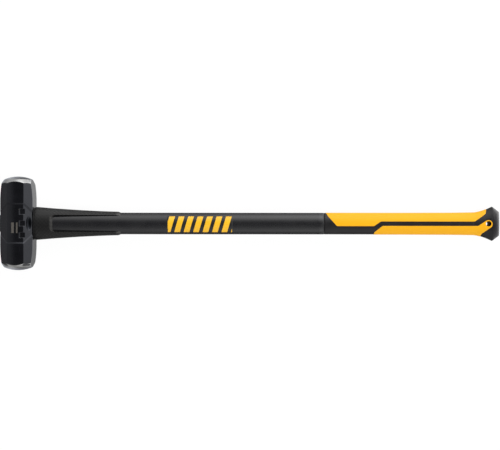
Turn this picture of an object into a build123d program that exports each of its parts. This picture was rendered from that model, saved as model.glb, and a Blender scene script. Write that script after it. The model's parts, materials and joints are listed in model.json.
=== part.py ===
from build123d import *
import os
from math import cos, radians, sin, tan

# Sledgehammer with a forged double-faced head and a composite handle.
# It lies on one cheek of its head. +X runs from the head to the butt, +Y is the
# striking axis and +Z is up. Origin: on the surface that the hammer lies on,
# under the middle of its length. All sizes are in millimetres.

os.makedirs("parts", exist_ok=True)

# ---------------------------------------------------------------- sizes

# head
HEAD_LENGTH = 171.2            # face to face, along Y
HEAD_DEPTH = 60.0              # cheek to cheek, along Z
HEAD_WIDTH = 59.2              # side to side, along X, at the waist
CHEEK_WIDTH = 30.0             # flat of the cheek, along X
SIDE_DEPTH = 38.0              # flat of the side, along Z
BARREL_START = 39.0            # half length of the straight middle
BARREL_RADIUS = 194.0          # curve of the sides from the middle to the face
FACE_RADIUS = 21.85            # edge of the crowned face
FACE_RISE = 1.6                # height of the crown
BEVEL_REACH = 16.0             # bevel drawn past the flats, at 45 degrees
BAND_DEPTH = 1.2               # waist band, below the flats
BAND_HALF_CHEEK = 35.3         # half length of the band on the cheek
BAND_HALF_SIDE = 21.0          # half length of the band on the side
NOTCH_PITCH = 21.3
NOTCH_HEIGHT = 9.7
NOTCH_START = 7.3              # span of a notch, from the middle of the head
NOTCH_END = 18.5
NOTCH_DEPTH = 3.4              # below the cheek
DIMPLE_LENGTH = 22.0
DIMPLE_RADIUS = 3.5
DIMPLE_OFFSET = 24.0           # from the middle of the head

# sections of the handle: half height (Y) and half depth (Z)
SHAFT_OVAL = (19.75, 16.0)
CORE_OVAL = (15.0, 11.0)
UNDER_GRIP_OVAL = (17.0, 13.2)
EYE_WAIST_OVAL = (16.2, 12.2)
EYE_MOUTH_OVAL = (18.0, 14.0)
PLUG_OVAL = (17.0, 13.0)
DAM_OVAL = (29.0, 18.0)

# places along the handle
HEAD_X = -422.0                # middle of the head
SIDE_X = HEAD_X + HEAD_WIDTH / 2
PLUG_OUTER_X = -457.2
PLUG_INNER_X = -444.6
PLUG_ROUNDING = 5.2
DAM_END_X = SIDE_X + 1.3
CORE_END_X = 416.0
GRIP_START_X = 136.0
CAP_START_X = 409.0
RIDGE_X = 443.6
BUTT_END_X = 457.2

# collar
WINDOW_START_X = -360.0
WINDOW_HALF_HEIGHT = 15.3
WINDOW_ROUNDING = 6.5
COLLAR_ROUNDING = 12.0
WING_TIP_BEVEL = 1.2
COLLAR_SECTIONS = (            # X, half height, half depth
    (DAM_END_X, 30.3, 19.6),
    (-356.0, 27.5, 18.9),
    (-307.0, 24.3, 18.4),
    (-257.0, 22.1, 18.0),
    (-234.0, 21.5, 17.7),
)

# grip and butt
PANEL_THICKNESS = 1.6
PANEL_ROUNDING = 2.0
GRIP_SECTIONS = (              # X, half height, half depth
    (GRIP_START_X, 19.9, 16.1),
    (278.0, 19.95, 16.15),
    (368.0, 20.2, 16.25),
    (CAP_START_X, 20.8, 16.4),
)
FLARE_SECTIONS = (             # from the grip to the ridge of the butt
    (CAP_START_X, 20.8, 16.4),
    (420.0, 22.5, 16.8),
    (431.0, 25.6, 17.4),
    (RIDGE_X, 30.5, 18.4),
)
END_SECTIONS = (               # from the ridge to the end of the butt
    (RIDGE_X, 30.5, 18.4),
    (449.0, 28.0, 17.2),
    (454.5, 23.5, 14.2),
    (BUTT_END_X, 17.5, 9.6),
)
OUTLINE_REACH = 40.0           # outlines are drawn well past the grip's edges
STRIPE_HALF_WIDTH = 3.7        # black stripe between the two panels
LOWER_PANEL_START_X = 226.9
LOWER_PANEL_END_X = 424.3
HEEL_Y = -16.8                 # where the lower panel turns up to the ring
RAKE = 35.0                    # slope of the rise to the ring, in degrees
TETHER_X = 434.6
TETHER_RADIUS = 4.9
TETHER_WALL = 1.5
TETHER_RING_RADIUS = 8.7

# labels
LABEL_START_X = -149.0
LABEL_END_X = -30.0
LABEL_TOP = 12.8
LABEL_BOTTOM = -15.6
LABEL_THICKNESS = 0.2

AXIS_Z = HEAD_DEPTH / 2        # height of the handle's axis
HALF_LENGTH = HEAD_LENGTH / 2
CHEEK_PLANE = Plane(origin=(HEAD_X, 0, 0))
MID_PLANE = Plane(origin=(HEAD_X, 0, AXIS_Z))
HEAD_SECTION_PLANE = Plane(origin=(HEAD_X, 0, AXIS_Z), x_dir=(1, 0, 0), z_dir=(0, -1, 0))


# ---------------------------------------------------------------- helpers

def section_plane(x):
    """Plane across the handle at x, with local axes along Y and Z."""
    return Plane(origin=(x, 0, AXIS_Z), x_dir=(0, 1, 0), z_dir=(1, 0, 0))


def oval_bar(start_x, end_x, oval):
    """Straight bar of oval section between two places along the handle."""
    with BuildPart(mode=Mode.PRIVATE) as bar:
        with BuildSketch(section_plane(start_x)):
            Ellipse(*oval)
        extrude(amount=end_x - start_x)
    return bar.part


def oval_taper(sections, inset=0.0, straight=False):
    """Bar lofted through oval sections, each drawn in by the inset."""
    with BuildPart(mode=Mode.PRIVATE) as taper:
        for x, half_height, half_depth in sections:
            with BuildSketch(section_plane(x)):
                Ellipse(half_height - inset, half_depth - inset)
        loft(ruled=straight)
    return taper.part


def grip_form(inset=0.0):
    """Form of the grip up to the ridge of the butt, drawn in by the inset."""
    with BuildPart(mode=Mode.PRIVATE) as form:
        add(oval_taper(GRIP_SECTIONS, inset, straight=True))
        add(oval_taper(FLARE_SECTIONS, inset))
    return form.part


def octagon_prism(inset, half_length):
    """Octagonal bar along the striking axis, with its flats drawn in by the inset."""
    with BuildPart(mode=Mode.PRIVATE) as prism:
        with BuildSketch(HEAD_SECTION_PLANE):
            with BuildLine():
                Polyline(
                    (0, HEAD_DEPTH / 2),
                    (CHEEK_WIDTH / 2, HEAD_DEPTH / 2),
                    (HEAD_WIDTH / 2, SIDE_DEPTH / 2),
                    (HEAD_WIDTH / 2, 0),
                )
                mirror(about=Plane.XZ)
                mirror(about=Plane.YZ)
            make_face()
            if inset:
                offset(amount=-inset, kind=Kind.INTERSECTION, mode=Mode.REPLACE)
        extrude(amount=half_length, both=True)
    return prism.part


# ---------------------------------------------------------------- eye

# The eye narrows to a waist at the middle of the head, and ends at the far side
# in a straight mouth for the plug.
with BuildPart() as eye_hole:
    for x, oval in ((HEAD_X, EYE_WAIST_OVAL), (SIDE_X, EYE_MOUTH_OVAL)):
        with BuildSketch(section_plane(x)):
            Ellipse(*oval)
    loft()
    for x, oval in ((PLUG_INNER_X, PLUG_OVAL), (HEAD_X, EYE_WAIST_OVAL)):
        with BuildSketch(section_plane(x)):
            Ellipse(*oval)
    loft()
    add(oval_bar(PLUG_OUTER_X, PLUG_INNER_X, PLUG_OVAL))

# ---------------------------------------------------------------- head

# The band lies a little below the flats. It is longer on the cheeks than on the
# sides, and its ends run slantwise between them.
with BuildPart() as waist_band:
    add(octagon_prism(-BAND_DEPTH, BAND_HALF_CHEEK))
    add(octagon_prism(BAND_DEPTH, BAND_HALF_CHEEK), mode=Mode.SUBTRACT)
    with BuildSketch(MID_PLANE):
        Rectangle(CHEEK_WIDTH, 2 * BAND_HALF_CHEEK)
        for side in (1, -1):
            with BuildLine():
                Polyline(
                    (side * CHEEK_WIDTH / 2, BAND_HALF_CHEEK),
                    (side * HEAD_WIDTH / 2, BAND_HALF_SIDE),
                    (side * (HEAD_WIDTH / 2 + BAND_DEPTH), BAND_HALF_SIDE),
                    (side * (HEAD_WIDTH / 2 + BAND_DEPTH), -BAND_HALF_SIDE),
                    (side * HEAD_WIDTH / 2, -BAND_HALF_SIDE),
                    (side * CHEEK_WIDTH / 2, -BAND_HALF_CHEEK),
                    close=True,
                )
            make_face()
    extrude(amount=HEAD_DEPTH, both=True, mode=Mode.INTERSECT)

with BuildPart() as head:
    add(octagon_prism(0, HALF_LENGTH))
    # barrel shape of the two sides
    with BuildSketch(CHEEK_PLANE):
        with BuildLine():
            waist_x = HEAD_WIDTH / 2
            reach = HALF_LENGTH - BARREL_START
            end_x = waist_x - BARREL_RADIUS + (BARREL_RADIUS**2 - reach**2) ** 0.5
            for side in (1, -1):
                Line((side * waist_x, -BARREL_START), (side * waist_x, BARREL_START))
                for end in (1, -1):
                    TangentArc(
                        (side * waist_x, end * BARREL_START),
                        (side * end_x, end * HALF_LENGTH),
                        tangent=(0, end),
                    )
            for end in (1, -1):
                Line((end_x, end * HALF_LENGTH), (-end_x, end * HALF_LENGTH))
        make_face()
    extrude(amount=HEAD_DEPTH, mode=Mode.INTERSECT)
    # bevelled ends and crowned faces, turned about the striking axis
    with BuildSketch(MID_PLANE):
        with BuildLine():
            face_y = HALF_LENGTH - FACE_RISE
            bevel_x = FACE_RADIUS + BEVEL_REACH
            bevel_y = face_y - BEVEL_REACH
            Line((0, -HALF_LENGTH), (0, HALF_LENGTH))
            for end in (1, -1):
                TangentArc(
                    (0, end * HALF_LENGTH), (FACE_RADIUS, end * face_y), tangent=(1, 0)
                )
                Line((FACE_RADIUS, end * face_y), (bevel_x, end * bevel_y))
            Line((bevel_x, -bevel_y), (bevel_x, bevel_y))
        make_face()
    revolve(axis=Axis((HEAD_X, 0, AXIS_Z), (0, 1, 0)), mode=Mode.INTERSECT)
    add(waist_band.part, mode=Mode.SUBTRACT)
    add(eye_hole.part, mode=Mode.SUBTRACT)
    # three notches at the handle side of each cheek
    for floor_z, outward in ((HEAD_DEPTH - NOTCH_DEPTH, 1), (NOTCH_DEPTH, -1)):
        with BuildSketch(CHEEK_PLANE.offset(floor_z)):
            with Locations(((NOTCH_START + NOTCH_END) / 2, 0)):
                with GridLocations(0, NOTCH_PITCH, 1, 3):
                    Rectangle(NOTCH_END - NOTCH_START, NOTCH_HEIGHT)
        extrude(amount=outward * NOTCH_DEPTH, mode=Mode.SUBTRACT)
    # spindle-shaped dimple in each slanted flat beside the handle
    slant = (HEAD_DEPTH - SIDE_DEPTH) / (HEAD_WIDTH - CHEEK_WIDTH)
    dimple_rise = AXIS_Z - slant * (DIMPLE_OFFSET - CHEEK_WIDTH / 2) - BAND_DEPTH
    for dimple_z in (AXIS_Z + dimple_rise, AXIS_Z - dimple_rise):
        dimple_x = HEAD_X + DIMPLE_OFFSET
        half_length = DIMPLE_LENGTH / 2
        with BuildSketch(Plane(origin=(dimple_x, 0, dimple_z))):
            with BuildLine():
                Line((0, half_length), (0, -half_length))
                ThreePointArc((0, -half_length), (DIMPLE_RADIUS, 0), (0, half_length))
            make_face()
        revolve(axis=Axis((dimple_x, 0, dimple_z), (0, 1, 0)), mode=Mode.SUBTRACT)
head.part.label = "head"
export_step(head.part, "parts/head.step")

# ---------------------------------------------------------------- handle core

with BuildPart() as core_rod:
    add(oval_bar(PLUG_INNER_X, CORE_END_X, CORE_OVAL))
core_rod.part.label = "core_rod"
export_step(core_rod.part, "parts/core_rod.step")

# adhesive between the core rod and the wall of the eye
with BuildPart() as eye_epoxy:
    add(eye_hole.part)
    add(oval_bar(PLUG_OUTER_X, PLUG_INNER_X, PLUG_OVAL), mode=Mode.SUBTRACT)
    add(core_rod.part, mode=Mode.SUBTRACT)
eye_epoxy.part.label = "eye_epoxy"
export_step(eye_epoxy.part, "parts/eye_epoxy.step")

with BuildPart() as crown_plug:
    add(oval_bar(PLUG_OUTER_X, PLUG_INNER_X, PLUG_OVAL))
    fillet(crown_plug.faces().sort_by(Axis.X)[0].edges(), PLUG_ROUNDING)
crown_plug.part.label = "crown_plug"
export_step(crown_plug.part, "parts/crown_plug.step")

with BuildPart() as eye_dam:
    add(oval_bar(SIDE_X, DAM_END_X, DAM_OVAL))
    add(core_rod.part, mode=Mode.SUBTRACT)
eye_dam.part.label = "eye_dam"
export_step(eye_dam.part, "parts/eye_dam.step")

# The jacket is thinner under the grip, so that the grip is flush with it.
with BuildPart() as shaft_jacket:
    add(oval_bar(DAM_END_X, GRIP_START_X, SHAFT_OVAL))
    add(oval_bar(GRIP_START_X, CORE_END_X, UNDER_GRIP_OVAL))
    add(core_rod.part, mode=Mode.SUBTRACT)
shaft_jacket.part.label = "shaft_jacket"
export_step(shaft_jacket.part, "parts/shaft_jacket.step")

# ---------------------------------------------------------------- collar

# Tapered guard with a window in each face, open towards the grip. A pair of
# wings is left beside the windows, along the edges of the shaft.
with BuildPart() as overstrike_collar:
    for x, half_height, half_depth in COLLAR_SECTIONS:
        with BuildSketch(section_plane(x)):
            RectangleRounded(2 * half_height, 2 * half_depth, COLLAR_ROUNDING)
    loft()
    chamfer(overstrike_collar.faces().sort_by(Axis.X)[-1].edges(), WING_TIP_BEVEL)
    add(oval_bar(HEAD_X, GRIP_START_X, SHAFT_OVAL), mode=Mode.SUBTRACT)
    with BuildSketch() as window:
        with Locations((WINDOW_START_X, 0)):
            Rectangle(
                GRIP_START_X - WINDOW_START_X,
                2 * WINDOW_HALF_HEIGHT,
                align=(Align.MIN, Align.CENTER),
            )
        fillet(window.vertices().group_by(Axis.X)[0], WINDOW_ROUNDING)
    extrude(amount=HEAD_DEPTH, mode=Mode.SUBTRACT)
overstrike_collar.part.label = "overstrike_collar"
export_step(overstrike_collar.part, "parts/overstrike_collar.step")

# ---------------------------------------------------------------- grip panels

grip_body = grip_form()
grip_bed = grip_form(inset=PANEL_THICKNESS)

# The upper panel wraps over the grip's upper edge, from face to face.
with BuildPart() as grip_upper_panel:
    with BuildSketch() as upper_outline:
        with BuildLine():
            Polyline(
                (139.0, OUTLINE_REACH),
                (139.9, 19.6),
                (144.0, 12.7),
                (159.5, -4.6),
                (LOWER_PANEL_START_X, -4.6),
                (238.9, STRIPE_HALF_WIDTH),
                (CAP_START_X, STRIPE_HALF_WIDTH),
                (429.6, 16.4),
                (430.9, 21.8),
                (433.5, 27.0),
                (433.5, OUTLINE_REACH),
                close=True,
            )
        make_face()
        rounded = upper_outline.vertices().sort_by(Axis.Y)[:-2]
        fillet(rounded, PANEL_ROUNDING)
    extrude(amount=HEAD_DEPTH)
    add(grip_body, mode=Mode.INTERSECT)
    add(grip_bed, mode=Mode.SUBTRACT)
grip_upper_panel.part.label = "grip_upper_panel"
export_step(grip_upper_panel.part, "parts/grip_upper_panel.step")

# The lower panel wraps under the lower edge. Its end rises at the rake angle to
# a ring round the tether hole.
with BuildPart() as grip_lower_panel:
    with BuildSketch() as lower_outline:
        ring_dx = TETHER_RING_RADIUS * sin(radians(RAKE))
        ring_dy = TETHER_RING_RADIUS * cos(radians(RAKE))
        upper_run = (ring_dy + STRIPE_HALF_WIDTH) / tan(radians(RAKE))
        lower_run = (-HEEL_Y - ring_dy) / tan(radians(RAKE))
        with BuildLine():
            Polyline(
                (TETHER_X + ring_dx, -ring_dy),
                (TETHER_X + ring_dx - lower_run, HEEL_Y),
                (LOWER_PANEL_END_X, -22.9),
                (LOWER_PANEL_END_X, -OUTLINE_REACH),
                (LOWER_PANEL_START_X, -OUTLINE_REACH),
                (LOWER_PANEL_START_X, -20.0),
                (228.8, -14.8),
                (242.6, -STRIPE_HALF_WIDTH),
                (TETHER_X - ring_dx - upper_run, -STRIPE_HALF_WIDTH),
                (TETHER_X - ring_dx, ring_dy),
            )
            ThreePointArc(
                (TETHER_X - ring_dx, ring_dy),
                (TETHER_X + ring_dy, ring_dx),
                (TETHER_X + ring_dx, -ring_dy),
            )
        make_face()
        with Locations((TETHER_X, 0)):
            Circle(TETHER_RADIUS, mode=Mode.SUBTRACT)
    extrude(amount=HEAD_DEPTH)
    add(grip_body, mode=Mode.INTERSECT)
    add(grip_bed, mode=Mode.SUBTRACT)
grip_lower_panel.part.label = "grip_lower_panel"
export_step(grip_lower_panel.part, "parts/grip_lower_panel.step")

# ---------------------------------------------------------------- grip and butt

with BuildPart() as tether_sleeve:
    with BuildSketch():
        with Locations((TETHER_X, 0)):
            Circle(TETHER_RADIUS + TETHER_WALL)
            Circle(TETHER_RADIUS, mode=Mode.SUBTRACT)
    extrude(amount=HEAD_DEPTH)
    add(grip_bed, mode=Mode.INTERSECT)
tether_sleeve.part.label = "tether_sleeve"
export_step(tether_sleeve.part, "parts/tether_sleeve.step")

with BuildPart() as grip_sleeve:
    add(grip_body)
    split(bisect_by=section_plane(CAP_START_X), keep=Keep.BOTTOM)
    add(oval_bar(GRIP_START_X, CORE_END_X, UNDER_GRIP_OVAL), mode=Mode.SUBTRACT)
    add(grip_upper_panel.part, mode=Mode.SUBTRACT)
    add(grip_lower_panel.part, mode=Mode.SUBTRACT)
grip_sleeve.part.label = "grip_sleeve"
export_step(grip_sleeve.part, "parts/grip_sleeve.step")

with BuildPart() as butt_cap:
    add(grip_body)
    split(bisect_by=section_plane(CAP_START_X), keep=Keep.TOP)
    add(oval_taper(END_SECTIONS))
    add(oval_bar(GRIP_START_X, CORE_END_X, UNDER_GRIP_OVAL), mode=Mode.SUBTRACT)
    add(grip_upper_panel.part, mode=Mode.SUBTRACT)
    add(grip_lower_panel.part, mode=Mode.SUBTRACT)
    with BuildSketch():
        with Locations((TETHER_X, 0)):
            Circle(TETHER_RADIUS + TETHER_WALL)
    extrude(amount=HEAD_DEPTH, mode=Mode.SUBTRACT)
butt_cap.part.label = "butt_cap"
export_step(butt_cap.part, "parts/butt_cap.step")

# ---------------------------------------------------------------- labels

# Thin film on each face of the shaft.
label_oval = tuple(half + LABEL_THICKNESS for half in SHAFT_OVAL)
for name, start_z in (("label_front", AXIS_Z), ("label_back", 0)):
    with BuildPart() as label:
        with BuildSketch(Plane.XY.offset(start_z)):
            with Locations(
                ((LABEL_START_X + LABEL_END_X) / 2, (LABEL_TOP + LABEL_BOTTOM) / 2)
            ):
                Rectangle(LABEL_END_X - LABEL_START_X, LABEL_TOP - LABEL_BOTTOM)
        extrude(amount=AXIS_Z)
        add(oval_bar(LABEL_START_X, LABEL_END_X, label_oval), mode=Mode.INTERSECT)
        add(shaft_jacket.part, mode=Mode.SUBTRACT)
        add(core_rod.part, mode=Mode.SUBTRACT)
    label.part.label = name
    export_step(label.part, f"parts/{name}.step")
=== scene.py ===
import bmesh
import bpy
import json
import numpy as np
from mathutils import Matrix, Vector
from mathutils.geometry import delaunay_2d_cdt


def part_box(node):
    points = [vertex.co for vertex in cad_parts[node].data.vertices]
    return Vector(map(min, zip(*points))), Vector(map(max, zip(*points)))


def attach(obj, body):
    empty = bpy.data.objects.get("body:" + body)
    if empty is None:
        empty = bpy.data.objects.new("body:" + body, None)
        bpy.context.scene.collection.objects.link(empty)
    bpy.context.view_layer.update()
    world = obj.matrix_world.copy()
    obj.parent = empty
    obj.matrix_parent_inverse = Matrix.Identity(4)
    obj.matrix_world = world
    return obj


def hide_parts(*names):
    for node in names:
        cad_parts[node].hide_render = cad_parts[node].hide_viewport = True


# A long-handled sledgehammer lying on one cheek of its head. +X runs from the
# head to the butt, +Y is the striking axis and +Z is up. Shapes are worked out
# in millimetres, and each piece's mesh is written in metres.

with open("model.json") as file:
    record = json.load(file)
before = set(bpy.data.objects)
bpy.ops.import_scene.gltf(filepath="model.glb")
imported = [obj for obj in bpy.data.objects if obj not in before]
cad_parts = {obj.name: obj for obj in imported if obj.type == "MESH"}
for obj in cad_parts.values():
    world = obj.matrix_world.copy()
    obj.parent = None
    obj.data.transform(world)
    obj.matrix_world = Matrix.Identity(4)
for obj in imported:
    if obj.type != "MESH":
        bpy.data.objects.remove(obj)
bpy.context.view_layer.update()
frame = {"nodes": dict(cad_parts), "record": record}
MM = 0.001


def node_box(node):
    """Lowest and highest corners of a frame node, in millimetres."""
    low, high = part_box(node)
    return np.array(low) / MM, np.array(high) / MM


# ---------------------------------------------------------------- places

head_low, head_high = node_box("head")
HEAD_X, _, AXIS_Z = (head_low + head_high) / 2
HEAD_HALF_WIDTH, HEAD_HALF_LENGTH, HEAD_HALF_DEPTH = (head_high - head_low) / 2
plug_low, plug_high = node_box("crown_plug")
collar_low, collar_high = node_box("overstrike_collar")
jacket_low, jacket_high = node_box("shaft_jacket")
core_low, core_high = node_box("core_rod")
sleeve_low, sleeve_high = node_box("grip_sleeve")
tether_low, tether_high = node_box("tether_sleeve")
label_low, label_high = node_box("label_front")
PANEL_START_X = node_box("grip_upper_panel")[0][0]
BUTT_END_X = node_box("butt_cap")[1][0]

SHAFT_HALF_HEIGHT = (jacket_high[1] - jacket_low[1]) / 2
SHAFT_HALF_DEPTH = (jacket_high[2] - jacket_low[2]) / 2
CORE_HALF_HEIGHT = (core_high[1] - core_low[1]) / 2
CORE_HALF_DEPTH = (core_high[2] - core_low[2]) / 2
GRIP_START_X, CAP_START_X = sleeve_low[0], sleeve_high[0]
TETHER_X = (tether_low[0] + tether_high[0]) / 2
TETHER_OUTER_RADIUS = (tether_high[1] - tether_low[1]) / 2
TETHER_MOUNT = next(m for m in frame["record"]["mounts"] if m["name"] == "tether_hole")
TETHER_RADIUS = TETHER_MOUNT["dims"]["r_mm"]
UNDER_GRIP = 17.0, 13.2                    # half height and half depth under the grip


# ---------------------------------------------------------------- mesh helpers

def quads(index):
    """Quads between neighbouring rows and columns of a table of vertex numbers."""
    corners = (index[:-1, :-1], index[:-1, 1:], index[1:, 1:], index[1:, :-1])
    return np.stack(corners, axis=-1).reshape(-1, 4)


def wrapped(index):
    """The same table with its first column repeated at the end."""
    return np.hstack([index, index[:, :1]])


def fan(ring, centre):
    """Triangles from a closed ring of vertex numbers to one centre vertex."""
    return np.stack([ring, np.roll(ring, -1), np.full_like(ring, centre)], axis=-1)


def numbered(points):
    """Table of vertex numbers for a grid of points."""
    return np.arange(points[..., 0].size).reshape(points.shape[:2])


def capped(index, count):
    """Fans over a grid's first and last rows. Their centres are count and count + 1."""
    return [fan(index[0], count), fan(index[-1], count + 1)]


def new_mesh(name, points, faces):
    """Mesh from points in millimetres and blocks of faces, filled in as whole arrays."""
    corners = np.concatenate([block.ravel() for block in faces])
    sizes = np.concatenate([np.full(len(block), block.shape[1]) for block in faces])
    mesh = bpy.data.meshes.new(name)
    mesh.vertices.add(len(points))
    mesh.vertices.foreach_set("co", (points * MM).astype(np.float32).ravel())
    mesh.loops.add(len(corners))
    mesh.loops.foreach_set("vertex_index", corners.astype(np.int32))
    mesh.polygons.add(len(sizes))
    mesh.polygons.foreach_set("loop_start", (np.cumsum(sizes) - sizes).astype(np.int32))
    mesh.update(calc_edges=True)
    return mesh


def add_object(name, data):
    """Puts a new object in the scene."""
    made = bpy.data.objects.new(name, data)
    bpy.context.scene.collection.objects.link(made)
    return made


def add_piece(name, points, faces, material, replaced, surface=None, bevel=0.0):
    """Adds a closed piece of the hammer, with its normals turned outwards.

    surface, where given, holds two coordinates for each point that run along and
    around the piece, in millimetres.
    """
    mesh = new_mesh(name, points, faces)
    shell = bmesh.new()
    shell.from_mesh(mesh)
    bmesh.ops.recalc_face_normals(shell, faces=shell.faces)
    shell.to_mesh(mesh)
    shell.free()
    mesh.shade_smooth()
    mesh.materials.append(material)
    if surface is not None:
        flat = np.column_stack([surface, np.zeros(len(surface))]) * MM
        attribute = mesh.attributes.new("surface", "FLOAT_VECTOR", "POINT")
        attribute.data.foreach_set("vector", flat.astype(np.float32).ravel())
    piece = add_object(name, mesh)
    if bevel:
        rounding = piece.modifiers.new("edges", "BEVEL")
        rounding.width = bevel * MM
        rounding.segments = 2
        rounding.limit_method = "ANGLE"
        rounding.angle_limit = np.radians(35)
    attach(piece, "root")
    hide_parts(replaced)


def full_turn(columns):
    """Even turns round a circle, in radians."""
    return np.linspace(0, 2 * np.pi, columns, endpoint=False)


def profile_rows(x, half_height, half_depth):
    """Rows of a profile, each a place along X with a half height and a half depth."""
    return np.column_stack(np.broadcast_arrays(np.asarray(x, float), half_height, half_depth))


def oval_ring(x, half_height, half_depth, turn):
    """Points of oval sections about the handle's axis.

    Y = half height times the sine of the turn, and Z = half depth times its
    cosine, above the axis. The turn is zero on the upper face.
    """
    x, half_height, half_depth = (
        np.asarray(value, float)[:, None] for value in (x, half_height, half_depth)
    )
    y = half_height * np.sin(turn)
    z = AXIS_Z + half_depth * np.cos(turn)
    return np.stack([x + 0 * y, y, z], axis=-1)


def lathe(profile, columns):
    """Closed skin of a closed loop of profile rows carried round the handle's axis."""
    points = oval_ring(*profile.T, full_turn(columns))
    index = numbered(points)
    return points.reshape(-1, 3), [quads(wrapped(np.vstack([index, index[:1]])))]


def block_loop(index, rows, columns):
    """Vertex numbers round the edge of a block of a grid, in order."""
    return np.concatenate([
        index[rows[0], columns[:-1]],
        index[rows[:-1], columns[-1]],
        index[rows[-1], columns[:0:-1]],
        index[rows[:0:-1], columns[0]],
    ])


def bored(points, index, rows, near, far, rings):
    """Opens a bore through a closed grid.

    The cells of two facing blocks of the grid are left out. Rings of vertices
    lead from the edge of the near block through the bore to the far block. rings
    is a function of the two edge loops' points, and gives a list of rings.
    """
    kept = np.ones((index.shape[0] - 1, index.shape[1]), bool)
    for columns in (near, far):
        left = np.where(
            (np.diff(columns) == 1) | (np.diff(columns) < -1), columns[:-1], columns[1:]
        )
        kept[np.ix_(rows[:-1], left)] = False
    cells = quads(wrapped(index)).reshape(kept.shape + (4,))[kept]
    near_loop = block_loop(index, rows, near)
    far_loop = block_loop(index, rows, far)
    inner = rings(points[near_loop], points[far_loop])
    table = np.vstack([near_loop[None], len(points) + numbered(inner), far_loop[None]])
    return np.vstack([points, inner.reshape(-1, 3)]), [cells, quads(wrapped(table))]


def between(start, end, steps):
    """Even steps from one ring of points to another, without the two ends."""
    share = (np.arange(1, steps) / steps)[:, None, None]
    return start + (end - start) * share


# ---------------------------------------------------------------- node helpers

class Wire:
    """An output of a node. Arithmetic on wires adds the math nodes that do it."""

    def __init__(self, socket):
        self.socket, self.tree = socket, socket.id_data

    def __add__(self, other):
        return calc("ADD", self, other)

    def __sub__(self, other):
        return calc("SUBTRACT", self, other)

    def __rsub__(self, other):
        return calc("SUBTRACT", other, self)

    def __mul__(self, other):
        return calc("MULTIPLY", self, other)

    def __truediv__(self, other):
        return calc("DIVIDE", self, other)

    def __abs__(self):
        return calc("ABSOLUTE", self)

    def step(self, low, high):
        """0 on low's side, 1 on high's side, and an even slope between them."""
        values = {"Value": self, "From Min": low, "From Max": high}
        return Wire(node(self.tree, "ShaderNodeMapRange", values, clamp=True).outputs["Result"])

    def within(self, start, low, high, end):
        """1 from low to high, with slopes down to 0 at start and at end."""
        return self.step(start, low) * self.step(end, high)


def put(value, target):
    """Wires a value to an input, or sets the input. Three numbers make a colour."""
    if isinstance(value, Wire):
        target.id_data.links.new(value.socket, target)
    elif target.type == "RGBA":
        target.default_value = (*value, 1.0)
    else:
        target.default_value = value


def node(tree, kind, values=(), **settings):
    """Adds a node. values holds what goes to its named or numbered inputs."""
    made = tree.nodes.new(kind)
    for name, value in settings.items():
        setattr(made, name, value)
    for name, value in dict(values).items():
        put(value, made.inputs[name])
    return made


def calc(operation, *values, clamp=False):
    """Math node on numbers and wires, at least one of them a wire."""
    tree = next(value.tree for value in values if isinstance(value, Wire))
    settings = {"operation": operation, "use_clamp": clamp}
    return Wire(node(tree, "ShaderNodeMath", enumerate(values), **settings).outputs[0])


def blend(share, first, second):
    """Number that goes from the first to the second as the share goes from 0 to 1."""
    return Wire(node(share.tree, "ShaderNodeMix", {0: share, 2: first, 3: second}).outputs[0])


def tint(share, first, second):
    """Colour that goes from the first to the second as the share goes from 0 to 1."""
    values = {0: share, 6: first, 7: second}
    return Wire(node(share.tree, "ShaderNodeMix", values, data_type="RGBA").outputs[2])


def noise(place, **values):
    return Wire(node(place.tree, "ShaderNodeTexNoise", {"Vector": place, **values}).outputs[0])


def mapped(place, **values):
    """A vector wire scaled, turned and then moved."""
    return Wire(node(place.tree, "ShaderNodeMapping", {"Vector": place, **values}).outputs[0])


def parts_of(vector):
    """X, Y and Z of a vector wire."""
    made = node(vector.tree, "ShaderNodeSeparateXYZ", {0: vector})
    return [Wire(socket) for socket in made.outputs]


def lengths(place):
    """X, Y and Z of a place in metres, as wires in millimetres."""
    return parts_of(mapped(place, Scale=(1 / MM,) * 3))


def object_place(tree, **values):
    """Object coordinates in metres, scaled and then moved."""
    return mapped(Wire(node(tree, "ShaderNodeTexCoord").outputs["Object"]), **values)


def surface_place(tree):
    """The coordinates that run along and around a piece, in metres."""
    made = node(tree, "ShaderNodeAttribute", attribute_name="surface")
    return Wire(made.outputs["Vector"])


def new_group(name, number, default, outputs):
    """Node group with a place and one number going in, and numbers coming out."""
    group = bpy.data.node_groups.new(name, "ShaderNodeTree")
    group.interface.new_socket("Place", in_out="INPUT", socket_type="NodeSocketVector")
    given = group.interface.new_socket(number, in_out="INPUT", socket_type="NodeSocketFloat")
    given.default_value = default
    for output in outputs:
        group.interface.new_socket(output, in_out="OUTPUT", socket_type="NodeSocketFloat")
    start = group.nodes.new("NodeGroupInput").outputs
    end = group.nodes.new("NodeGroupOutput").inputs
    return group, Wire(start[0]), Wire(start[1]), end


def use_group(group, place, **values):
    """Outputs of a node group at a place."""
    made = node(place.tree, "ShaderNodeGroup", {"Place": place, **values}, node_tree=group)
    return [Wire(socket) for socket in made.outputs]


def new_material(name, **settings):
    """Material with one Principled shader. Settings go straight on its sockets."""
    material = bpy.data.materials.new(name)
    material.use_nodes = True
    tree = material.node_tree
    shader = tree.nodes["Principled BSDF"].inputs
    for setting, value in settings.items():
        put(value, shader[setting.replace("_", " ")])
    return material, tree, shader


def dress(shader, base, roughness, height, depth_mm):
    """Feeds a shader its colour, its roughness and a bump of the given depth."""
    values = {"Height": height, "Distance": depth_mm * MM, "Strength": 1.0}
    bump = Wire(node(base.tree, "ShaderNodeBump", values).outputs["Normal"])
    for name, value in (("Base Color", base), ("Roughness", roughness), ("Normal", bump)):
        put(value, shader[name])


# ---------------------------------------------------------------- shared effects

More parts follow.
